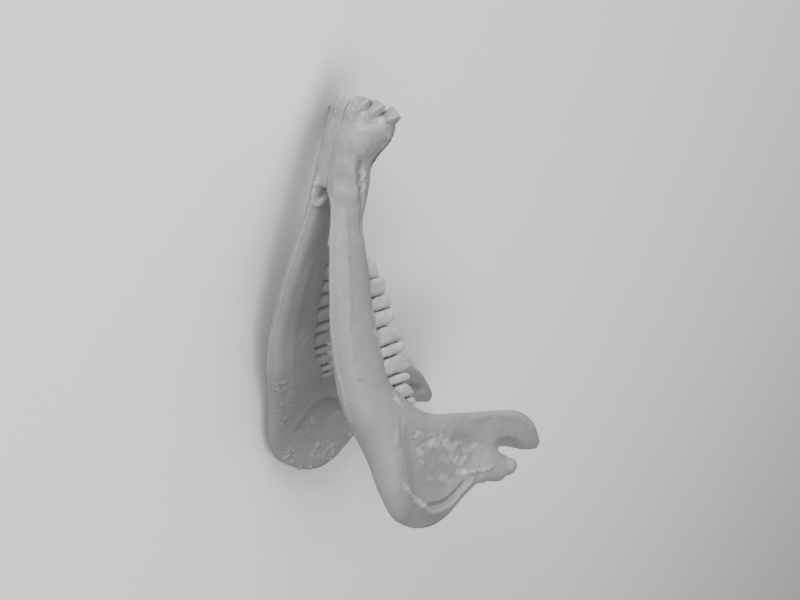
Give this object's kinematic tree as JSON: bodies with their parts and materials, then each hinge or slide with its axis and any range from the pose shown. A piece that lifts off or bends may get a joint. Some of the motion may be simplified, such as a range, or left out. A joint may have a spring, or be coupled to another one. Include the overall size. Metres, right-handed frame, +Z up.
{
  "type": "cattle lower jaw bone",
  "caption": "Lower jaw of a bull, both halves with their teeth, lying on its side: chin, long body with the cheek tooth row, rounded angle, hooked process and joint knob.",
  "frame": {"origin": "middle of the bounding box in plan, at the height of the floor that the jaw lies on", "axes": "+X from the front teeth to the angle of the jaw, +Y from the lower border to the hooked processes, +Z up, from the right half that lies on the floor to the left half"},
  "size_m": [0.4252, 0.2518, 0.1928],
  "materials": {
    "bone": "satin",
    "tooth": "satin"
  },
  "bodies": {
    "root": {"mandible_left": "bone", "mandible_right": "bone"}
  },
  "joints": []
}
